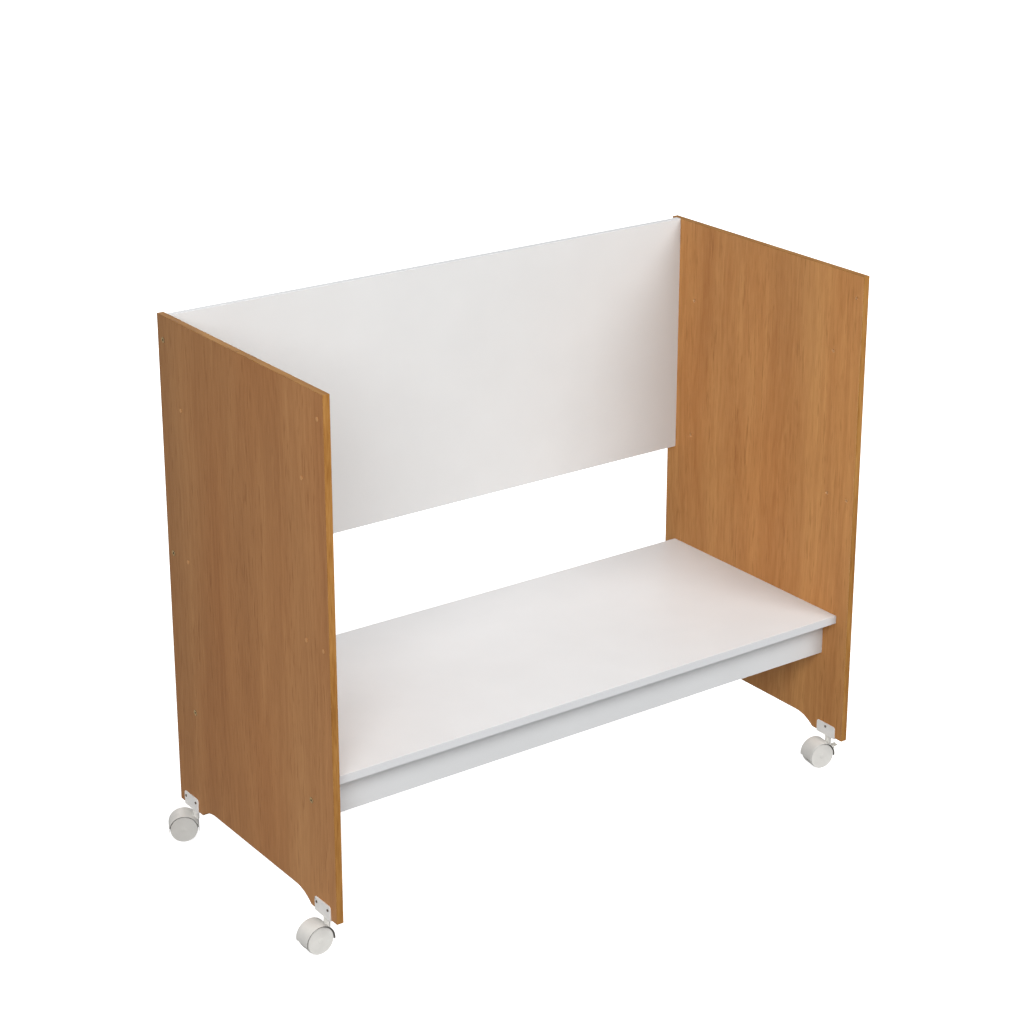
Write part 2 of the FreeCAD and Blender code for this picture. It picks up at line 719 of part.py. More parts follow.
def saddle(label, side, end):
    """A U-shaped bracket over a foot; its taller leg is outside, at -X of its own frame."""
    body = new_body(label)
    half = "(dims.board_thick / 2)"
    wide = f"({half} + dims.saddle_thick)"
    sketch = sketch_on(body, "XZ_Plane")
    section = [
        (f"-{wide}", "-dims.saddle_thick"),
        (wide, "-dims.saddle_thick"),
        (wide, "dims.saddle_inner"),
        (half, "dims.saddle_inner"),
        (half, "0"),
        (f"-{half}", "0"),
        (f"-{half}", "dims.saddle_outer"),
        (f"-{wide}", "dims.saddle_outer"),
    ]
    outline(sketch, section)
    extrude(body, "Pad", sketch, "dims.saddle_length", middle=True)
    sketch = sketch_on(body, "YZ_Plane", f"-{wide}")
    centres = [(f"{step} * dims.saddle_screw_step", "dims.saddle_screw_high") for step in (-1, 1)]
    circles(sketch, centres, "dims.screw_radius")
    extrude(body, "Pocket", sketch, "dims.saddle_thick", reverse=True)
    sketch = sketch_on(body, "YZ_Plane", wide)
    circles(sketch, [("0", "dims.saddle_screw_high")], "dims.screw_radius")
    extrude(body, "Pocket", sketch, "dims.saddle_thick")
    sketch = sketch_on(body, "XY_Plane", "-dims.saddle_thick")
    circles(sketch, [("0", "0")], "dims.stem_radius")
    extrude(body, "Pocket", sketch, "dims.saddle_thick", reverse=True)

    def upper_corner(edge):
        span = edge.BoundBox
        across = max(span.YLength, span.ZLength) < NEAR < span.XLength
        at_end = abs(abs(span.YMin) - number("dims.saddle_length / 2")) < NEAR
        return across and at_end and span.ZMin > number("dims.saddle_inner") - NEAR

    round_edges(body, "dims.saddle_corner", upper_corner)
    if side > 0:
        body.Placement = about_z(180)
    place(body, f"{side} * {FOOT_MIDDLE}", f"{end} * {CASTER_Y}", FEET)


def saddle_screws():
    screws = []
    for side_name, side in SIDES.items():
        x = f"{side} * ({HALF_WIDTH} + dims.saddle_thick)"
        for n, (y, z) in enumerate(SADDLE_OUTER_SCREWS):
            name = f"{side_name}_saddle_screw_{n}"
            screws.append(pan_screw(name, (0, 1, 0), -90 * side, (x, y, z)))
        x = f"{side} * ({HALF_GAP} - dims.saddle_thick)"
        for n, (y, z) in enumerate(SADDLE_INNER_SCREWS):
            name = f"{side_name}_inner_screw_{n}"
            screws.append(pan_screw(name, (0, 1, 0), 90 * side, (x, y, z)))
    group("saddle_screws", screws)


# ---------------------------------------------------------------- casters
# Each caster is drawn about its stem: z = 0 at the foot, the wheels trailing towards -X.


def about_z(angle):
    """A placement at the origin, turned about the upright axis."""
    return FreeCAD.Placement(FreeCAD.Vector(), FreeCAD.Rotation(FreeCAD.Vector(0, 0, 1), angle))


def rest_turn(body, turn_cell):
    """Binds a caster piece's turn about its stem to the sheet."""
    body.Placement = about_z(number(turn_cell))
    body.setExpression("Placement.Rotation.Angle", f"{turn_cell} * 1 deg")


def stand(body, side, end, turn_cell=None):
    """Places a piece drawn about the stem under its corner, at its rest turn."""
    if turn_cell:
        rest_turn(body, turn_cell)
    place(body, f"{side} * {FOOT_MIDDLE}", f"{end} * {CASTER_Y}", FEET)


STEM_SNAP = "(dims.neck_top + dims.stem_length - dims.stem_snap_inset)"


def stem(label, side, end):
    """The fixed steel pin that a caster swivels on, with a snap groove near its tip."""
    body = new_body(label)
    sketch = sketch_on(body, "XZ_Plane")
    half_groove = "(dims.snap_width / 2 + dims.snap_gap)"
    groove = "(dims.stem_radius - dims.snap_groove)"
    tip = "-(dims.neck_top + dims.stem_length - dims.stem_end_gap)"
    profile = [
        ("0", tip),
        ("(dims.stem_radius - dims.stem_chamfer)", tip),
        ("dims.stem_radius", f"({tip} + dims.stem_chamfer)"),
        ("dims.stem_radius", f"-({STEM_SNAP} + {half_groove})"),
        (groove, f"-({STEM_SNAP} + {half_groove})"),
        (groove, f"-({STEM_SNAP} - {half_groove})"),
        ("dims.stem_radius", f"-({STEM_SNAP} - {half_groove})"),
        ("dims.stem_radius", "0"),
        ("dims.stem_head_radius", "0"),
        ("dims.stem_head_radius", "dims.stem_head_thick"),
        ("0", "dims.stem_head_thick"),
    ]
    outline(sketch, profile)
    turn(body, "Revolution", sketch, "Z_Axis")
    stand(body, side, end)


WHEEL_X = "-dims.trail"
WHEEL_Z = "-dims.wheel_drop"
WELL_RADIUS = "(dims.hood_radius - dims.hood_wall)"


def hood(label, side, end, turn_cell, braked):
    """The swivelling hood: a shell over both wheels, a central web and the neck."""
    body = new_body(label)
    # Shell and web in one block, from lip to lip over the top.
    sketch = sketch_on(body, "XZ_Plane")
    chord = "sqrt(dims.hood_radius ^ 2 - dims.hood_skirt ^ 2)"
    low = f"({WHEEL_Z} - dims.hood_skirt)"
    rear = f"({WHEEL_X} - {chord})"
    front = f"({WHEEL_X} + {chord})"
    crown = f"({WHEEL_Z} + dims.hood_radius)"
    arcs = {
        1: ("dims.hood_radius", WHEEL_X, WHEEL_Z),
        2: ("dims.hood_radius", WHEEL_X, WHEEL_Z),
    }
    outline(sketch, [(rear, low), (front, low), (WHEEL_X, crown)], arcs)
    extrude(body, "Pad", sketch, "2 * dims.hood_half_width", middle=True)
    sketch = sketch_on(body, "XZ_Plane")
    circles(sketch, [(WHEEL_X, WHEEL_Z)], "dims.web_boss")
    extrude(body, "Pad", sketch, "2 * dims.web_half", middle=True)
    sketch = sketch_on(body, "XY_Plane", "-dims.neck_top")
    circles(sketch, [("0", "0")], "dims.neck_radius")
    extrude(body, "Pad", sketch, "(dims.neck_bottom - dims.neck_top)", reverse=True)
    if braked:
        brake_ears(body)
    for face in (-1, 1):
        sketch = sketch_on(body, "XZ_Plane", f"{face} * dims.hood_half_width")
        circles(sketch, [(WHEEL_X, WHEEL_Z)], WELL_RADIUS)
        depth = "(dims.hood_half_width - dims.web_half)"
        extrude(body, "Pocket", sketch, depth, reverse=face < 0)
    if braked:
        brake_window(body)
    sketch = sketch_on(body, "XZ_Plane", "dims.web_half")
    circles(sketch, [(WHEEL_X, WHEEL_Z)], "dims.axle_radius")
    extrude(body, "Pocket", sketch, "2 * dims.web_half")
    sketch = sketch_on(body, "XY_Plane", "-dims.neck_top")
    circles(sketch, [("0", "0")], "(dims.stem_radius + dims.fit_gap)")
    extrude(body, "Pocket", sketch, "dims.stem_length")
    # The snap ridge that holds the hood on its stem.
    sketch = sketch_on(body, "XZ_Plane")
    inner = "(dims.stem_radius - dims.snap_ridge)"
    half = "(dims.snap_width / 2)"
    outer = "(dims.stem_radius + dims.snap_root)"
    outline(sketch, rectangle(inner, f"-({STEM_SNAP} + {half})", outer, f"-({STEM_SNAP} - {half})"))
    turn(body, "Revolution", sketch, "Z_Axis")
    stand(body, side, end, turn_cell)


BRAKE_PIN_HALF = "(dims.brake_width / 2 + dims.snap_gap + dims.brake_ear_thick)"


def brake_ears(body):
    """Two ears on the front of the hood that carry the brake lever's pin."""
    ear_x = "dims.brake_pin_x"
    ear_z = "-dims.brake_pin_z"
    for face in (-1, 1):
        near = "(dims.brake_width / 2 + dims.snap_gap)"
        plane = f"{face} * ({near} + dims.brake_ear_thick)"
        sketch = sketch_on(body, "XZ_Plane", plane)
        circles(sketch, [(ear_x, ear_z)], "dims.brake_ear_radius")
        extrude(body, "Pad", sketch, "dims.brake_ear_thick", reverse=face > 0)
        sketch = sketch_on(body, "XZ_Plane", plane)
        low = f"({ear_z} - dims.brake_ear_radius)"
        high = f"({ear_z} + dims.brake_ear_radius)"
        outline(sketch, rectangle("-dims.brake_ear_root", low, ear_x, high))
        extrude(body, "Pad", sketch, "dims.brake_ear_thick", reverse=face > 0)
    sketch = sketch_on(body, "XZ_Plane")
    circles(sketch, [(ear_x, ear_z)], "dims.brake_pin_radius")
    extrude(body, "Pocket", sketch, f"2 * {BRAKE_PIN_HALF}", middle=True)


def brake_window(body):
    """A window through the hood's wall and web in front of the wheels, for the lever's shoe."""
    sketch = sketch_on(body, "XZ_Plane")
    low = "-(dims.brake_pin_z + dims.brake_window_down)"
    high = "-(dims.brake_pin_z - dims.brake_window_up)"
    far = "(dims.brake_pin_x + dims.brake_window_far)"
    outline(sketch, rectangle("dims.brake_window_near", low, far, high))
    extrude(body, "Pocket", sketch, "(dims.brake_width + 2 * dims.snap_gap)", middle=True)


def axle(label, side, end, turn_cell):
    body = new_body(label)
    sketch = sketch_on(body, "XY_Plane")
    half = "(dims.snap_width / 2 + dims.snap_gap)"
    groove = "(dims.axle_radius - dims.snap_groove)"
    profile = [("0", "-dims.axle_half"), ("dims.axle_radius", "-dims.axle_half")]
    for face in (-1, 1):
        middle = f"{face} * {AXLE_SNAP}"
        profile += [
            ("dims.axle_radius", f"({middle} - {half})"),
            (groove, f"({middle} - {half})"),
            (groove, f"({middle} + {half})"),
            ("dims.axle_radius", f"({middle} + {half})"),
        ]
    profile += [("dims.axle_radius", "dims.axle_half"), ("0", "dims.axle_half")]
    outline(sketch, profile)
    turn(body, "Revolution", sketch, "Y_Axis")
    stand_wheel(body, side, end, turn_cell)


AXLE_SNAP = "(dims.axle_half - dims.axle_snap_inset)"


def stand_wheel(body, side, end, turn_cell):
    """Places a piece drawn about the axle's centre under its corner."""
    rest_turn(body, turn_cell)
    x = f"({side} * {FOOT_MIDDLE} - dims.trail * cos({turn_cell} * 1 deg))"
    y = f"({end} * {CASTER_Y} - dims.trail * sin({turn_cell} * 1 deg))"
    place(body, x, y, f"({FEET} - dims.wheel_drop)")


def wheel(label, side, end, turn_cell, face):
    """One of a caster's twin wheels; face is -1 or 1, the side of the web it runs on."""
    body = new_body(label)
    sketch = sketch_on(body, "XY_Plane")
    inner = "(dims.web_half + dims.wheel_gap)"
    outer = f"({inner} + dims.wheel_width)"
    bore = "(dims.axle_radius + dims.fit_gap)"
    ridge = "(dims.axle_radius - dims.snap_ridge)"
    half = "(dims.snap_width / 2)"
    blind = "(dims.axle_half + dims.axle_end_gap)"
    disc = f"({outer} - dims.wheel_disc_thick)"
    recess = f"({outer} - dims.wheel_recess)"
    rim = "(dims.wheel_radius - dims.wheel_rim_thick)"
    edge = "(dims.wheel_radius - dims.wheel_edge_radius)"
    shoulder = f"({outer} - dims.wheel_edge_radius)"
    profile = [
        ("0", outer),
        ("0", blind),
        (bore, blind),
        (bore, f"({AXLE_SNAP} + {half})"),
        (ridge, f"({AXLE_SNAP} + {half})"),
        (ridge, f"({AXLE_SNAP} - {half})"),
        (bore, f"({AXLE_SNAP} - {half})"),
        (bore, inner),
        ("dims.wheel_hub_radius", inner),
        ("dims.wheel_hub_radius", disc),
        (rim, disc),
        (rim, inner),
        ("(dims.wheel_radius - dims.wheel_chamfer)", inner),
        ("dims.wheel_radius", f"({inner} + dims.wheel_chamfer)"),
        ("dims.wheel_radius", shoulder),
        (edge, outer),
        ("(dims.wheel_radius - dims.wheel_lip)", outer),
        ("(dims.wheel_radius - dims.wheel_lip - dims.wheel_recess)", recess),
        ("(dims.wheel_boss_radius + dims.wheel_recess)", recess),
        ("dims.wheel_boss_radius", outer),
    ]
    arcs = {14: ("dims.wheel_edge_radius", edge, shoulder)}
    outline(sketch, [(x, f"{face} * {y}") for x, y in profile], mirrored(arcs, face))
    turn(body, "Revolution", sketch, "Y_Axis")
    stand_wheel(body, side, end, turn_cell)


def mirrored(arcs, face):
    return {side: (radius, x, f"{face} * {y}") for side, (radius, x, y) in arcs.items()}


def brake(name, side, end, turn_cell):
    """The foot lever on the front of a hood, and the pin it turns on."""
    body = new_body(f"{name}_brake_lever")
    pin_x = "dims.brake_pin_x"
    pin_z = "-dims.brake_pin_z"
    sketch = sketch_on(body, "XZ_Plane")
    circles(sketch, [(pin_x, pin_z)], "dims.brake_hub_radius")
    extrude(body, "Pad", sketch, "dims.brake_width", middle=True)
    # Pedal, rising slightly away from the hood.
    sketch = sketch_on(body, "XZ_Plane")
    pedal_end = "dims.brake_pedal_reach"
    thick = "dims.brake_pedal_thick"
    pedal = [
        (pin_x, pin_z),
        (pedal_end, f"({pin_z} + dims.brake_pedal_rise)"),
        (pedal_end, f"({pin_z} + dims.brake_pedal_rise + {thick})"),
        (pin_x, f"({pin_z} + {thick})"),
    ]
    outline(sketch, pedal)
    extrude(body, "Pad", sketch, "dims.brake_width", middle=True)
    # Shoe, standing a small gap off the wheels' treads.
    sketch = sketch_on(body, "XZ_Plane")
    shoe_z = f"({pin_z} - dims.brake_shoe_drop)"
    shoe_low = f"({shoe_z} - dims.brake_shoe_half)"
    reach = f"({WHEEL_X} + sqrt(dims.wheel_radius ^ 2 - ({shoe_z} - {WHEEL_Z}) ^ 2))"
    toe = f"({reach} + dims.brake_shoe_gap)"
    hub = "dims.brake_hub_radius"
    shoe = [
        (toe, shoe_low),
        (f"({toe} + dims.brake_shoe_thick)", shoe_low),
        (f"({pin_x} + {hub} / 2)", f"({pin_z} - {hub} / 2)"),
        (f"({pin_x} - {hub} / 2)", pin_z),
        (f"({toe} + dims.brake_shoe_lean)", f"({shoe_z} + dims.brake_shoe_half)"),
    ]
    outline(sketch, shoe)
    extrude(body, "Pad", sketch, "dims.brake_width", middle=True)
    # The slot between the pedal's two prongs.
    sketch = sketch_on(body, "XY_Plane", "0")
    slot_start = f"({pedal_end} - dims.brake_slot_depth)"
    slot_end = f"({pedal_end} + dims.brake_slot_half)"
    half_slot = "dims.brake_slot_half"
    outline(sketch, rectangle(slot_start, f"-{half_slot}", slot_end, half_slot))
    extrude(body, "Pocket", sketch, "dims.brake_pin_z")
    sketch = sketch_on(body, "XZ_Plane", "dims.brake_width / 2")
    circles(sketch, [(pin_x, pin_z)], "(dims.brake_pin_radius + dims.fit_gap)")
    extrude(body, "Pocket", sketch, "dims.brake_width")
    stand(body, side, end, turn_cell)

    body = new_body(f"{name}_brake_pin")
    sketch = sketch_on(body, "XZ_Plane")
    circles(sketch, [(pin_x, pin_z)], "dims.brake_pin_radius")
    extrude(body, "Pad", sketch, f"2 * {BRAKE_PIN_HALF}", middle=True)
    stand(body, side, end, turn_cell)


def caster(side_name, end_name):
    """All the pieces of the caster under one corner; only the right-hand ones have brakes."""
    side = SIDES[side_name]
    end = ENDS[end_name]
    name = f"{end_name}_{side_name}"
    turn_cell = f"dims.{name}_turn"
    braked = side_name == "right"
    saddle(f"{name}_saddle_bracket", side, end)
    stem(f"{name}_stem", side, end)
    hood(f"{name}_hood", side, end, turn_cell, braked)
    axle(f"{name}_axle", side, end, turn_cell)
    for wheel_name, face in (("wheel_a", -1), ("wheel_b", 1)):
        wheel(f"{name}_{wheel_name}", side, end, turn_cell, face)
    if braked:
        brake(name, side, end, turn_cell)


# ---------------------------------------------------------------- assembly

for side_name, side in SIDES.items():
    side_panel(side_name, side)
    side_band(side_name, side)
back_panel()
desktop()
for end_name, end in ENDS.items():
    apron(end_name, end)
cross_bands()
bolts_and_plugs()
nuts_and_dowels()
angle_brackets()
for side_name in SIDES:
    for end_name in ENDS:
        caster(side_name, end_name)
saddle_screws()

doc.removeObject("ruler")
doc.recompute()
for item in doc.Objects:
    if {"Invalid", "Error"} & set(item.State):
        raise RuntimeError(f"{item.Label} did not recompute: {item.State}")
os.makedirs("parts", exist_ok=True)
for item in pieces:
    if item.Shape.isNull() or not item.Shape.isValid():
        raise RuntimeError(f"{item.Label} has no valid shape")
    item.Shape.exportStep(f"parts/{item.Label}.step")
    print(item.Label, len(item.Shape.Solids), round(item.Shape.Volume))
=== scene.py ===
import json
import math

import bmesh
import bpy
from mathutils import Matrix, Vector


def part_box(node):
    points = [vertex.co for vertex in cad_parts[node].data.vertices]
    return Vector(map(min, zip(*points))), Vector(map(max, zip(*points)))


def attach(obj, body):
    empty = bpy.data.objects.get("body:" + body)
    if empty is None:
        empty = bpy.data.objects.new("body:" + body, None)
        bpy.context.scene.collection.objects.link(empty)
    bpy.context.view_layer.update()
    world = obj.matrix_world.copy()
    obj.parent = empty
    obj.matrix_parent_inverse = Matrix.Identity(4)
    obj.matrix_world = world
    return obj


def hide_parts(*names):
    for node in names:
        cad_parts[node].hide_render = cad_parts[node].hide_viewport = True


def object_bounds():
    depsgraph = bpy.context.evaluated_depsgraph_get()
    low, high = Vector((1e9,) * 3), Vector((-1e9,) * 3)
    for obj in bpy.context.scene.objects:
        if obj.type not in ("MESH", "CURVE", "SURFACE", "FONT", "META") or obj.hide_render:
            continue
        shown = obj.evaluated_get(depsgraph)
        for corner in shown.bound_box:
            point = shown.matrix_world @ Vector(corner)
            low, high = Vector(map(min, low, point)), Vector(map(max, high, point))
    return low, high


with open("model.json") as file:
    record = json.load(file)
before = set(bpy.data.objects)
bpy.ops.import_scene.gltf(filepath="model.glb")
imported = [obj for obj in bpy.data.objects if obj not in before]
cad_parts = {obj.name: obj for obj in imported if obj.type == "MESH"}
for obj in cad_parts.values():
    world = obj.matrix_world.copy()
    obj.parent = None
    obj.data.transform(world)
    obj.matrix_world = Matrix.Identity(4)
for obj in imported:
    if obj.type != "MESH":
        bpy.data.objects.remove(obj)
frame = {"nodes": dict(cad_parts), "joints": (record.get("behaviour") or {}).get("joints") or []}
cad_box = [list(corner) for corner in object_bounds()]

MM = 0.001
CARCASS = "carcass"
CORNERS = ("front_left", "front_right", "rear_left", "rear_right")
BRAKED = ("front_right", "rear_right")

# ---------------------------------------------------------------- shader helpers

RANGE_SOCKETS = ("From Min", "From Max", "To Min", "To Max")


def tone(red, green, blue):
    """A linear colour from the 0-255 values of a display colour."""
    shares = [value / 255 for value in (red, green, blue)]
    linear = [s / 12.92 if s <= 0.04045 else ((s + 0.055) / 1.055) ** 2.4 for s in shares]
    return (*linear, 1.0)


def faded(colour, factor):
    """A colour made darker or lighter by a factor."""
    return tuple(min(1.0, value * factor) for value in colour[:3]) + (1.0,)


class Shader:
    """A material under construction: nodes are added by kind and wired by socket name."""

    def __init__(self, name, roughness=0.5, **constants):
        self.material = bpy.data.materials.new(name)
        self.material.use_nodes = True
        self.tree = self.material.node_tree
        self.surface = self.tree.nodes["Principled BSDF"]
        self.surface.inputs["Roughness"].default_value = roughness
        for socket, value in constants.items():
            self.surface.inputs[socket.replace("_", " ")].default_value = value
        self.place = self.add("ShaderNodeTexCoord").outputs["Object"]

    def add(self, kind, settings=None, **sockets):
        """One node; sockets take numbers, colours or other nodes' outputs."""
        node = self.tree.nodes.new(kind)
        for name, value in (settings or {}).items():
            setattr(node, name, value)
        for name, value in sockets.items():
            self.wire(node.inputs[name.replace("_", " ")], value)
        return node

    def wire(self, socket, value):
        """Links another node's output to a socket, or sets the socket's own value."""
        if isinstance(value, bpy.types.NodeSocket):
            self.tree.links.new(value, socket)
        else:
            socket.default_value = value

    def math(self, operation, first, second=0.0):
        """One sum, product or other operation on two numbers."""
        node = self.add("ShaderNodeMath", {"operation": operation})
        self.wire(node.inputs[0], first)
        self.wire(node.inputs[1], second)
        return node.outputs[0]

    def total(self, *weighted):
        """The sum of factors, each given with its weight."""
        result = self.math("MULTIPLY", *weighted[0])
        for factor, weight in weighted[1:]:
            result = self.math("ADD", result, self.math("MULTIPLY", factor, weight))
        return result

    def stretched(self, scale, offset=(0, 0, 0)):
        """The piece's own coordinates, in metres, scaled and moved."""
        node = self.add("ShaderNodeMapping", Vector=self.place)
        node.inputs["Scale"].default_value = scale
        node.inputs["Location"].default_value = offset
        return node.outputs["Vector"]

    def noise(self, vector, scale=1.0, detail=2.0, rough=0.5):
        """Soft noise in three dimensions."""
        node = self.add("ShaderNodeTexNoise", Vector=vector, Scale=scale, Detail=detail)
        node.inputs["Roughness"].default_value = rough
        return node.outputs["Fac"]

    def noise_along(self, value, scale, detail=2.0):
        """Noise that depends on one number only, for irregular rings."""
        settings = {"noise_dimensions": "1D"}
        node = self.add("ShaderNodeTexNoise", settings, W=value, Scale=scale, Detail=detail)
        return node.outputs["Fac"]

    def ramp(self, factor, stops):
        """A colour ramp: stops are (place, colour)."""
        node = self.add("ShaderNodeValToRGB", Fac=factor)
        elements = node.color_ramp.elements
        while len(elements) < len(stops):
            elements.new(0.5)
        for element, (place, colour) in zip(elements, stops):
            element.position = place
            element.color = colour
        return node.outputs["Color"]

    def span(self, factor, low, high, out_low=0.0, out_high=1.0):
        """Stretches a factor from one range to another, clamped."""
        node = self.add("ShaderNodeMapRange", {"clamp": True}, Value=factor)
        for name, value in zip(RANGE_SOCKETS, (low, high, out_low, out_high)):
            node.inputs[name].default_value = value
        return node.outputs["Result"]

    def blend(self, mode, factor, first, second):
        """Two colours mixed by a factor."""
        node = self.add("ShaderNodeMix", {"data_type": "RGBA", "blend_type": mode}, Factor=factor)
        self.wire(node.inputs[6], first)
        self.wire(node.inputs[7], second)
        return node.outputs[2]

    def axes(self):
        """The piece's own x, y and z, in metres."""
        parts = self.add("ShaderNodeSeparateXYZ", Vector=self.place).outputs
        return parts["X"], parts["Y"], parts["Z"]

    def finish(self, colour, roughness=None, height=None, depth=0.0001):
        """Wires colour, roughness and bump height into the surface."""
        self.wire(self.surface.inputs["Base Color"], colour)
        if roughness is not None:
            self.wire(self.surface.inputs["Roughness"], roughness)
        if height is not None:
            bump = self.add("ShaderNodeBump", Height=height, Distance=depth, Strength=1.0)
            self.wire(self.surface.inputs["Normal"], bump.outputs["Normal"])
        return self.material


# ---------------------------------------------------------------- materials


PANEL_HALF_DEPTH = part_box("left_side_panel")[1][1]
PANEL_RISE = (0.1, 1.15)
PORE_TINT = tone(196, 178, 160)
GRAIN_BUMP = 0.03 * MM
JOINT_HALF_WIDTH = 0.7 * MM
JOINT_DEPTH = 3 * MM


def wood_laminate(name, tones, arch, seed, pore_depth, painted_light_forward, painted_light_foot):
    """Printed wood grain running up a side panel.

    arch is the y and z of the middle of its nested arches; the last two arguments are painted
    light:
    the first lightens it towards the front edge, the second towards the feet.
    """
    shader = Shader(name, roughness=0.5, Specular_IOR_Level=0.15)
    _, across, upward = shader.axes()

    def grain(cross, length, shift=0.0, **look):
        """Noise stretched along the grain: features per metre across it and along it."""
        offset = (seed + shift, seed * 1.7 + shift, seed * 0.6 + shift)
        return shader.noise(shader.stretched((1.0, cross, length), offset), **look)

    # Growth rings: irregular nested arches, bent by a slow drift and a finer sway.
    drift = grain(3.2, 0.9, detail=2.0)
    sway = grain(22.0, 5.0, 3.1, detail=3.0)
    from_middle = shader.total((across, 1.0), (drift, 0.20), (sway, 0.030))
    from_middle = shader.math("SUBTRACT", from_middle, arch[0] + 0.115)
    lengthwise = shader.math("MULTIPLY", shader.math("SUBTRACT", upward, arch[1]), 0.10)
    squares = [shader.math("POWER", part, 2.0) for part in (from_middle, lengthwise)]
    radius = shader.math("SQRT", shader.math("ADD", *squares))
    broad_rings = shader.noise_along(radius, 30.0)
    fine_rings = shader.noise_along(radius, 120.0, detail=2.0)

    # Streaks, fibres and pores along the grain.
    bands = grain(8.0, 0.8, 7.7, detail=2.0)
    streaks = grain(105.0, 8.5, 5.9, detail=3.0, rough=0.6)
    threads = grain(260.0, 22.0, 4.3, detail=3.0, rough=0.6)
    fibres = grain(640.0, 60.0, 1.3, detail=3.0, rough=0.6)
    dashes = shader.span(grain(210.0, 17.0, 9.1, detail=2.0, rough=0.6), 0.55, 0.70)
    dashes = shader.math("MULTIPLY", dashes, shader.span(broad_rings, 0.40, 0.60, 0.2, 1.0))
    rings = ((broad_rings, 0.20), (fine_rings, 0.06))
    lines = ((streaks, 0.22), (threads, 0.16), (fibres, 0.06))
    mixed = shader.total((bands, 0.44), *rings, *lines)
    dark, middle, light = tones
    colour = shader.ramp(mixed, [(0.40, dark), (0.57, middle), (0.74, light)])
    # The tint drifts between a redder and a yellower brown.
    tint = shader.ramp(drift, [(0.35, (1.03, 0.985, 0.95, 1.0)), (0.65, (0.985, 1.01, 1.04, 1.0))])
    colour = shader.blend("MULTIPLY", 1.0, colour, tint)
    pores = shader.math("MULTIPLY", dashes, pore_depth)
    colour = shader.blend("MULTIPLY", pores, colour, PORE_TINT)
    # Painted light: the board is made lighter towards its front edge and towards its feet.
    front, rear = (1.0 + painted_light_forward, 1.0 - painted_light_forward)
    painted_light_gain = shader.span(across, -PANEL_HALF_DEPTH, PANEL_HALF_DEPTH, front, rear)
    rise = shader.span(upward, *PANEL_RISE, 1.0 + painted_light_foot, 1.0 - painted_light_foot)
    painted_light_gain = shader.math("MULTIPLY", painted_light_gain, rise)
    painted_light_tint = shader.add("ShaderNodeCombineColor", Red=painted_light_gain, Green=painted_light_gain, Blue=painted_light_gain).outputs["Color"]
    colour = shader.blend("MULTIPLY", 1.0, colour, painted_light_tint)
    rough = shader.span(fibres, 0.3, 0.7, 0.44, 0.56)
    height = shader.total((fibres, 1.0), (dashes, -0.8))
    return shader.finish(colour, rough, height, GRAIN_BUMP)


def edge_band_wood(name, tones, seed):
    """Wood-tone edge band: fine grain, and the joint where its two ends meet on top."""
    shader = Shader(name, roughness=0.5, Specular_IOR_Level=0.08)
    _, across, upward = shader.axes()
    fibre = shader.noise(shader.stretched((620, 34, 26), (seed, 0, 0)), detail=3.0)
    slow = shader.noise(shader.stretched((60, 6, 5), (0, seed, 0)), detail=2.0)
    mixed = shader.total((fibre, 0.55), (slow, 0.45))
    dark, middle, light = tones
    colour = shader.ramp(mixed, [(0.38, dark), (0.5, middle), (0.64, light)])
    near_joint = shader.math("LESS_THAN", shader.math("ABSOLUTE", across), JOINT_HALF_WIDTH)
    on_top = shader.math("GREATER_THAN", upward, cad_box[1][2] - JOINT_DEPTH)
    joint = shader.math("MULTIPLY", shader.math("MULTIPLY", near_joint, on_top), 0.8)
    colour = shader.blend("MULTIPLY", joint, colour, tone(160, 142, 122))
    return shader.finish(colour, shader.span(fibre, 0.3, 0.7, 0.45, 0.58), fibre, GRAIN_BUMP)


def white_melamine(name, colour, seed, roughness=0.42):
    """White melamine: a fine pearl texture and a very faint cloudiness."""
    shader = Shader(name, roughness=roughness, Specular_IOR_Level=0.3)
    cloud = shader.noise(shader.stretched((7, 7, 7), (seed, seed, seed)), detail=3.0)
    pearl = shader.noise(shader.place, scale=1400.0, detail=2.0)
    shade = shader.ramp(cloud, [(0.3, faded(colour, 0.984)), (0.7, faded(colour, 1.014))])
    rough = shader.span(pearl, 0.3, 0.7, roughness - 0.04, roughness + 0.05)
    return shader.finish(shade, rough, pearl, 0.000012)


def particle_board(name):
    """The open core of a board inside a hole: pressed light wood chips."""
    shader = Shader(name, roughness=0.85)
    chips = shader.add("ShaderNodeTexVoronoi", Vector=shader.place, Scale=900.0).outputs["Distance"]
    grit = shader.noise(shader.place, scale=2200.0, detail=2.0)
    mixed = shader.total((chips, 0.7), (grit, 0.5))
    stops = [(0.2, tone(150, 104, 58)), (0.5, tone(226, 178, 124)), (0.8, tone(244, 206, 156))]
    return shader.finish(shader.ramp(mixed, stops), None, mixed, 0.0002)


def bare_beech(name):
    """Bare dowel wood, its fibres running along the dowel."""
    shader = Shader(name, roughness=0.6)
    fibre = shader.noise(shader.stretched((14, 700, 700)), detail=3.0)
    stops = [(0.3, tone(186, 148, 100)), (0.7, tone(222, 192, 146))]
    return shader.finish(shader.ramp(fibre, stops), None, fibre, 0.00008)


def moulded_plastic(name, colour, roughness=0.45, seed=0.0):
    """Moulded plastic: a fine spark-eroded grain, and soft unevenness of colour and gloss."""
    shader = Shader(name, roughness=roughness, Specular_IOR_Level=0.35)
    eroded = shader.noise(shader.place, scale=2600.0, detail=2.0)
    flow = shader.noise(shader.stretched((45, 45, 45), (seed, 0, seed)), detail=3.0)
    shade = shader.ramp(flow, [(0.3, faded(colour, 0.95)), (0.7, faded(colour, 1.03))])
    rough = shader.span(flow, 0.3, 0.7, roughness - 0.05, roughness + 0.06)
    return shader.finish(shade, rough, eroded, 0.00002)


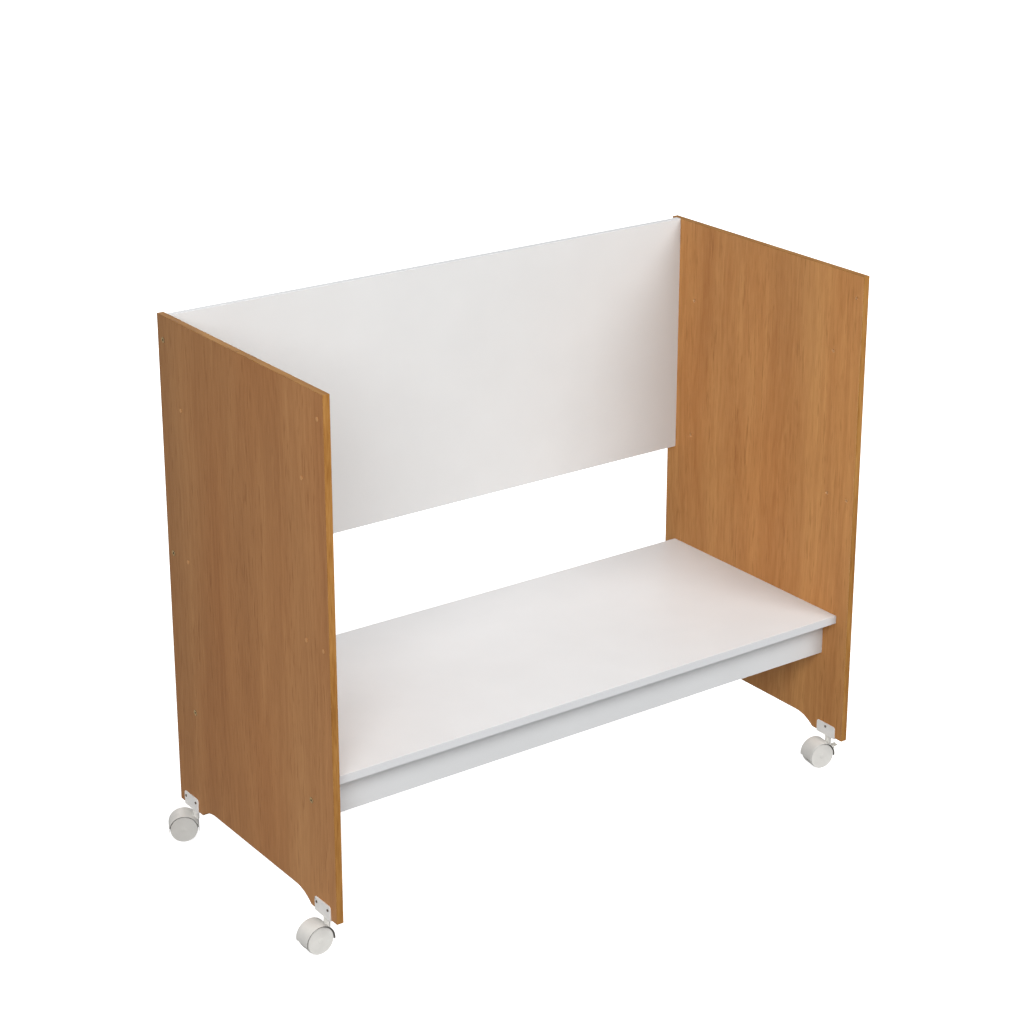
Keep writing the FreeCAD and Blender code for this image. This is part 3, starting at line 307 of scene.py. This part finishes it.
def plated_steel(name, colour, roughness=0.34, patchy=0.06, metallic=1.0):
    """Plated steel: spangled colour and scuffed gloss."""
    shader = Shader(name, roughness=roughness, Metallic=metallic)
    patch = shader.noise(shader.place, scale=160.0, detail=3.0)
    scratch = shader.noise(shader.stretched((400, 2600, 400)), detail=2.0)
    stops = [(0.35, faded(colour, 1 - patchy * 2)), (0.65, faded(colour, 1 + patchy))]
    shade = shader.ramp(patch, stops)
    rough = shader.span(scratch, 0.3, 0.7, roughness - 0.08, roughness + 0.12)
    return shader.finish(shade, rough, scratch, 0.00001)


# The right panel's wood tones are lighter than the left's: painted light for the bounce it gets
# from the white boards.
LEFT_TONES = (tone(162, 110, 67), tone(180, 127, 80), tone(195, 142, 92))
RIGHT_PAINTED_LIGHT_TONES = (tone(172, 115, 65), tone(193, 138, 83), tone(211, 157, 97))
BAND_TONES = (tone(144, 97, 46), tone(162, 114, 58), tone(177, 130, 74))

# The left panel's last two numbers are painted light: lighter towards the front edge and the feet.
laminate = {
    "left": wood_laminate("left_laminate", LEFT_TONES, (-0.02, 0.75), 2.3, 0.5, 0.12, 0.07),
    "right": wood_laminate("right_laminate_painted_light", RIGHT_PAINTED_LIGHT_TONES, (0.02, 0.80), 11.9, 0.55, 0.0, 0.0),
}
band_wood = {
    "left": edge_band_wood("left_band_wood", BAND_TONES, 1.0),
    "right": edge_band_wood("right_band_wood", BAND_TONES, 5.0),
}
core = particle_board("particle_board")
panel_white = white_melamine("panel_melamine", tone(216, 217, 217), 3.0)
desk_white = white_melamine("desk_melamine", tone(234, 235, 236), 8.0, roughness=0.36)
apron_white = white_melamine("apron_melamine", tone(211, 212, 213), 6.0)
white_band = white_melamine("white_band", tone(228, 229, 230), 5.0, roughness=0.44)
# The desktop's edge band is a darker copy of its white: painted shade for the front-facing edge.
desk_band_painted_shade = white_melamine("desk_band_painted_shade", tone(210, 211, 213), 4.0, roughness=0.44)
saddle_grey = moulded_plastic("saddle_plastic", tone(250, 248, 245), 0.44)
hood_grey = moulded_plastic("hood_plastic", tone(234, 232, 227), 0.45)
# A darker grey for the hood's inside faces: painted shade in the hood's hollow.
hood_inside_painted_shade = moulded_plastic("hood_inside_painted_shade", tone(112, 109, 104), 0.6)
wheel_grey = moulded_plastic("wheel_plastic", tone(221, 219, 214), 0.5, seed=4.0)
brake_grey = moulded_plastic("brake_plastic", tone(182, 178, 170), 0.5)
cap_tan = moulded_plastic("cap_plastic", tone(204, 150, 96), 0.5)
yellow_zinc = plated_steel("yellow_zinc", tone(206, 172, 118), 0.4, 0.12, metallic=0.35)
zinc = plated_steel("zinc", tone(196, 198, 200), 0.34)
dark_zinc = plated_steel("dark_zinc", tone(124, 110, 98), 0.45, 0.1, metallic=0.4)
# Near-black steel for the bolts' hex sockets: painted shade in the recess.
socket_painted_shade = plated_steel("painted_socket_shade", tone(48, 40, 30), 0.6, 0.1, metallic=0.4)
beech = bare_beech("beech")

# ---------------------------------------------------------------- mesh helpers

FLAT_TURN = math.radians(1.0)
SHARP_TURN = math.radians(32.0)


def clean_mesh(node):
    """A bmesh of a CAD node with its flat triangles joined into plain faces."""
    mesh = bmesh.new()
    mesh.from_mesh(frame["nodes"][node].data)
    bmesh.ops.remove_doubles(mesh, verts=mesh.verts, dist=1e-6)
    bmesh.ops.dissolve_limit(mesh, angle_limit=FLAT_TURN, verts=mesh.verts, edges=mesh.edges)
    return mesh


def soften(obj, width, segments=3, smooth=False):
    """Rounds every sharp edge by width; smooth also blends curved walls and keeps flats flat."""
    bevel = obj.modifiers.new("rounding", "BEVEL")
    bevel.width = width
    bevel.segments = segments
    bevel.limit_method = "ANGLE"
    bevel.angle_limit = SHARP_TURN
    bevel.use_clamp_overlap = False
    bevel.miter_outer = "MITER_ARC"
    for polygon in obj.data.polygons:
        polygon.use_smooth = smooth
    if smooth:
        weighted = obj.modifiers.new("flat_faces", "WEIGHTED_NORMAL")
        weighted.weight = 100
        weighted.keep_sharp = False


def piece_from(mesh, name, body, materials, nodes):
    """Turns a bmesh into a piece that rides on a body and stands for CAD nodes."""
    data = bpy.data.meshes.new(name)
    mesh.to_mesh(data)
    mesh.free()
    for material in materials:
        data.materials.append(material)
    obj = bpy.data.objects.new(name, data)
    bpy.context.scene.collection.objects.link(obj)
    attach(obj, body)
    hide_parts(*nodes)
    return obj


def dressed(node, body, material, width, segments=3, smooth=False):
    """A CAD node rebuilt with rounded edges and its own finish."""
    obj = piece_from(clean_mesh(node), f"{node}_finish", body, [material], [node])
    soften(obj, width, segments, smooth)
    return obj


def arc(centre_r, centre_z, radius, start, end, steps=8):
    """Points of a round stretch of a profile, between two angles in degrees."""
    turns = [math.radians(start + (end - start) * n / steps) for n in range(steps + 1)]
    return [(centre_r + radius * math.cos(t), centre_z + radius * math.sin(t)) for t in turns]


def lathe(profile, steps=96):
    """A closed solid turned about Z from (radius, height) points that start and end on Z."""
    mesh = bmesh.new()
    rings = []
    for radius, height in profile:
        if radius < 1e-7:
            rings.append([mesh.verts.new((0, 0, height))])
            continue
        turns = [math.tau * n / steps for n in range(steps)]
        circle = [(radius * math.cos(t), radius * math.sin(t), height) for t in turns]
        rings.append([mesh.verts.new(point) for point in circle])
    for lower, upper in zip(rings, rings[1:]):
        for n in range(steps):
            corners = [lower[n % len(lower)], lower[(n + 1) % len(lower)]]
            corners += [upper[(n + 1) % len(upper)], upper[n % len(upper)]]
            mesh.faces.new(list(dict.fromkeys(corners)))
    bmesh.ops.recalc_face_normals(mesh, faces=mesh.faces)
    return mesh


# ---------------------------------------------------------------- boards

RIM_WIDTH = 2.0 * MM
HOLE_SPAN = (6.5 * MM, 7.5 * MM)
BOARD_EDGE = 0.12 * MM
BAND_EDGE = 0.35 * MM


def loops_of(edges):
    """Sorts edges into connected loops."""
    left = set(edges)
    loops = []
    while left:
        queue = [left.pop()]
        loop = []
        while queue:
            edge = queue.pop()
            loop.append(edge)
            for vert in edge.verts:
                for neighbour in vert.link_edges:
                    if neighbour in left:
                        left.remove(neighbour)
                        queue.append(neighbour)
        loops.append(loop)
    return loops


def open_rims(mesh, inner_x):
    """Chips the laminate back around the open holes of a side panel's inner face."""
    on_face = [e for e in mesh.edges if all(abs(v.co.x - inner_x) < 0.01 * MM for v in e.verts)]
    rims = []
    for loop in loops_of(on_face):
        heights = [vert.co.z for edge in loop for vert in edge.verts]
        if HOLE_SPAN[0] < max(heights) - min(heights) < HOLE_SPAN[1]:
            rims += loop
    shape = {"segments": 1, "affect": "EDGES", "clamp_overlap": False}
    bmesh.ops.bevel(mesh, geom=rims, offset=RIM_WIDTH, **shape)


def side_board(side):
    """The laminated board: grain on its faces, open particle board in its holes."""
    node = f"{side}_side_panel"
    low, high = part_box(node)
    mesh = clean_mesh(node)
    inner_x = high[0] if side == "left" else low[0]
    open_rims(mesh, inner_x)
    for face in mesh.faces:
        flat = abs(face.normal.x) > 0.99
        at_face = min(abs(face.calc_center_median().x - x) for x in (low[0], high[0])) < 0.1 * MM
        face.material_index = 0 if flat and at_face else 1
    obj = piece_from(mesh, f"{side}_board", CARCASS, [laminate[side], core], [node])
    soften(obj, BOARD_EDGE, 1)


SOCKET_REACH = 2.4 * MM
SOCKET_DEPTHS = (0.05 * MM, 2 * MM)
BOLT_TIP_REACH = 5 * MM


def bolt_set(side):
    """Connector bolts: yellow heads, their hex sockets in a near-black steel as painted shade."""
    node = f"{side}_connector_bolts"
    low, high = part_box(node)
    outer_x, inner_x = (low[0], high[0]) if side == "left" else (high[0], low[0])
    mesh = clean_mesh(node)
    # Faces down in the hex socket take the near-black steel: painted shade.
    for face in mesh.faces:
        middle = face.calc_center_median()
        inside = SOCKET_DEPTHS[0] < abs(middle.x - outer_x) < SOCKET_DEPTHS[1]
        small = max((vert.co - middle).length for vert in face.verts) < SOCKET_REACH
        off_tip = abs(middle.x - inner_x) > BOLT_TIP_REACH
        face.material_index = 1 if inside and small and off_tip else 0
    obj = piece_from(mesh, f"{node}_finish", CARCASS, [yellow_zinc, socket_painted_shade], [node])
    soften(obj, 0.3 * MM)


for side in ("left", "right"):
    side_board(side)
    bolt_set(side)
    dressed(f"{side}_side_edge_band", CARCASS, band_wood[side], BAND_EDGE)
    dressed(f"{side}_hole_caps", CARCASS, cap_tan, BAND_EDGE)

dressed("back_panel", CARCASS, panel_white, BOARD_EDGE, 1)
dressed("desktop", CARCASS, desk_white, BOARD_EDGE, 1)
for node in ("front_apron", "rear_apron"):
    dressed(node, CARCASS, apron_white, BOARD_EDGE, 1)
for node in ("back_panel_edge_bands", "apron_edge_bands"):
    dressed(node, CARCASS, white_band, BAND_EDGE)
dressed("desktop_edge_bands", CARCASS, desk_band_painted_shade, BAND_EDGE)

# ---------------------------------------------------------------- hardware

STEEL_EDGE = 0.25 * MM
PIN_EDGE = 0.2 * MM

for node in ("barrel_nuts", "desktop_angle_brackets", "desktop_bracket_screws"):
    dressed(node, CARCASS, zinc, STEEL_EDGE, 2)
dressed("saddle_screws", CARCASS, dark_zinc, STEEL_EDGE, 2)
for node in ("apron_dowels", "back_panel_dowels"):
    dressed(node, CARCASS, beech, 0.8 * MM, 1)

# ---------------------------------------------------------------- casters

MOULDED_EDGE = 0.6 * MM
LEVER_EDGE = 0.3 * MM


def joint_line(name):
    """A joint's place and unit axis at rest, in the row frame."""
    joint = next(item for item in frame["joints"] if item["name"] == name)
    return Vector(joint["pos_m"]), Vector(joint["axis"]).normalized()


def caster_wheel(corner, letter):
    """A hollow-backed wheel: broad tread, a stepped disc with a shallow dish, and a hub boss."""
    node = f"{corner}_wheel_{letter}"
    centre, axis = joint_line(f"{node}_spin")
    points = [vert.co - centre for vert in frame["nodes"][node].data.vertices]
    if sum(point.dot(axis) for point in points) < 0:
        axis = -axis
    heights = [point.dot(axis) for point in points]
    inner, outer = min(heights), max(heights)
    radius = max((point - point.dot(axis) * axis).length for point in points)
    face = radius - 0.8 * MM
    step = 4.5 * MM
    crisp = 0.6 * MM
    dish = 0.5 * MM
    bore = 2.55 * MM
    hub = 7 * MM
    blind = outer - 1.6 * MM
    disc = outer - 4 * MM
    rim = radius - 4.5 * MM
    profile = [(0, blind), (bore, blind), (bore, inner + 0.4 * MM)]
    profile += [(bore + 0.4 * MM, inner), (hub, inner), *arc(hub + MM, disc - MM, MM, 180, 90, 4)]
    profile += [*arc(rim - MM, disc - MM, MM, 90, 0, 4), (rim, inner)]
    profile += [*arc(radius - MM, inner + MM, MM, -90, 0, 4), (radius, (inner + outer) / 2)]
    profile += [*arc(radius - MM, outer - step - MM, MM, 0, 90, 4), (face, outer - step)]
    profile += arc(face - crisp, outer - crisp, crisp, 0, 90, 5)
    # The dish falls away inside the disc's edge and rises again to the middle.
    fall = ((1.4, 0.0), (1.9, 0.8), (2.6, 1.0))
    profile += [(face - inset * MM, outer - share * dish) for inset, share in fall]
    rise = ((6.4, 1.0), (5.8, 0.8), (5.3, 0.1), (2.0, 0.0), (0.0, 0.0))
    profile += [(at * MM, outer - share * dish) for at, share in rise]
    mesh = lathe(profile)
    mesh.transform(Matrix.Translation(centre) @ axis.to_track_quat("Z", "Y").to_matrix().to_4x4())
    obj = piece_from(mesh, f"{node}_finish", f"{node}_body", [wheel_grey], [node])
    for polygon in obj.data.polygons:
        polygon.use_smooth = True
    weighted = obj.modifiers.new("flat_faces", "WEIGHTED_NORMAL")
    weighted.weight = 100


WELL_RADIUS = 31.8 * MM
STEM_BORE_REACH = 5.5 * MM


def caster_hood(corner):
    """The hood, with a full round lip and its inside faces in a darker grey as painted shade; its
    snug bores keep sharp edges.
    """
    node = f"{corner}_hood"
    stem, _ = joint_line(f"{corner}_swivel_turn")
    hub, axis = joint_line(f"{corner}_wheel_a_spin")
    mesh = clean_mesh(node)
    weights = mesh.edges.layers.float.new("bevel_weight_edge")
    for edge in mesh.edges:
        turn = edge.calc_face_angle(0.0)
        near_stem = max((vert.co.xy - stem.xy).length for vert in edge.verts) < STEM_BORE_REACH
        edge[weights] = 0.0 if near_stem or turn < SHARP_TURN else 1.0
    # Faces inside the wheel well take the darker grey: painted shade for the hood's inside.
    for face in mesh.faces:
        reach = face.calc_center_median() - hub
        reach -= reach.dot(axis) * axis
        face.material_index = 1 if reach.length < WELL_RADIUS and face.normal.dot(reach) < 0 else 0
    finish = [hood_grey, hood_inside_painted_shade]
    obj = piece_from(mesh, f"{node}_finish", f"{corner}_swivel", finish, [node])
    soften(obj, MOULDED_EDGE, smooth=True)
    obj.modifiers["rounding"].limit_method = "WEIGHT"


for corner in CORNERS:
    swivel = f"{corner}_swivel"
    bracket = f"{corner}_saddle_bracket"
    dressed(bracket, CARCASS, saddle_grey, MOULDED_EDGE, smooth=True)
    dressed(f"{corner}_stem", CARCASS, zinc, PIN_EDGE, 2)
    caster_hood(corner)
    dressed(f"{corner}_axle", swivel, zinc, PIN_EDGE, 2)
    for letter in "ab":
        caster_wheel(corner, letter)
    if corner in BRAKED:
        lever = f"{corner}_brake_lever"
        dressed(lever, f"{corner}_brake", brake_grey, LEVER_EDGE, smooth=True)
        dressed(f"{corner}_brake_pin", swivel, zinc, PIN_EDGE, 2)

# ---------------------------------------------------------------- stage, light and camera

FLOOR_HALF_WIDTH = 30.0
NEAR_GLOW = 0.72
FAR_GLOW = 1.0
GLOW_REACH = (1.2, 5.0)
HORIZON_BLEND = 0.15
AIM = (0, 0, 0.6)


def stage_floor():
    """A plain white floor; it glows a little more far off, where the lamps don't reach."""
    half = FLOOR_HALF_WIDTH
    corners = [(-half, -half, 0), (half, -half, 0), (half, half, 0), (-half, half, 0)]
    mesh = bpy.data.meshes.new("floor")
    mesh.from_pydata(corners, [], [(0, 1, 2, 3)])
    floor = bpy.data.objects.new("floor", mesh)
    bpy.context.scene.collection.objects.link(floor)
    shader = Shader("floor_white", roughness=0.9, Specular_IOR_Level=0.1)
    shader.surface.inputs["Emission Color"].default_value = (1, 1, 1, 1)
    length = shader.add("ShaderNodeVectorMath", {"operation": "LENGTH"}, Vector=shader.place)
    glow = shader.span(length.outputs["Value"], *GLOW_REACH, NEAR_GLOW, FAR_GLOW)
    shader.wire(shader.surface.inputs["Emission Strength"], glow)
    cloud = shader.noise(shader.place, scale=0.6, detail=1.0)
    colour = shader.ramp(cloud, [(0.3, (0.93, 0.93, 0.93, 1)), (0.7, (0.95, 0.95, 0.95, 1))])
    mesh.materials.append(shader.finish(colour))
    # The glow whitens the floor in the picture and must not light the carrel from below.
    floor.visible_diffuse = False
    floor.visible_glossy = False


def soft_light(name, place, target, size, watts):
    """A large area light aimed at a point."""
    data = bpy.data.lights.new(name, "AREA")
    data.shape = "DISK"
    data.size = size
    data.energy = watts
    light = bpy.data.objects.new(name, data)
    light.location = place
    light.rotation_euler = (Vector(target) - Vector(place)).to_track_quat("-Z", "Y").to_euler()
    bpy.context.scene.collection.objects.link(light)


def studio_world(above, below):
    """White surroundings, brighter above the horizon than below it."""
    world = bpy.data.worlds.new("studio")
    world.use_nodes = True
    tree = world.node_tree
    place = tree.nodes.new("ShaderNodeTexCoord").outputs["Generated"]
    split = tree.nodes.new("ShaderNodeSeparateXYZ")
    tree.links.new(place, split.inputs["Vector"])
    level = tree.nodes.new("ShaderNodeMapRange")
    for name, value in zip(RANGE_SOCKETS, (-HORIZON_BLEND, HORIZON_BLEND, below, above)):
        level.inputs[name].default_value = value
    tree.links.new(split.outputs["Z"], level.inputs["Value"])
    tree.links.new(level.outputs["Result"], tree.nodes["Background"].inputs["Strength"])
    tree.nodes["Background"].inputs["Color"].default_value = (1, 1, 1, 1)
    bpy.context.scene.world = world


# The camera stands in front and to the left, well above the carrel, looking down and right.
CAMERA_PLACE = (-2.7848, -3.8380, 2.5561)
CAMERA_YAW = -35.70
CAMERA_PITCH = -19.03
CAMERA_LENS = 83.45
CAMERA_SHIFT_Y = -0.1


def camera():
    data = bpy.data.cameras.new("camera")
    data.sensor_width = 36.0
    data.lens = CAMERA_LENS
    data.shift_y = CAMERA_SHIFT_Y
    data.clip_end = 200.0
    view = bpy.data.objects.new("camera", data)
    view.location = CAMERA_PLACE
    view.rotation_euler = (math.radians(90 + CAMERA_PITCH), 0, math.radians(CAMERA_YAW))
    bpy.context.scene.collection.objects.link(view)
    bpy.context.scene.camera = view


stage_floor()
studio_world(0.45, 0.33)
soft_light("key_right", (1.6, -4.2, 3.6), AIM, 3.0, 158)
soft_light("key_left", (-3.4, -3.6, 3.2), AIM, 2.4, 143)
soft_light("back", (0.6, 4.4, 3.6), AIM, 3.0, 48)
camera()
bpy.context.scene.view_settings.view_transform = "Standard"
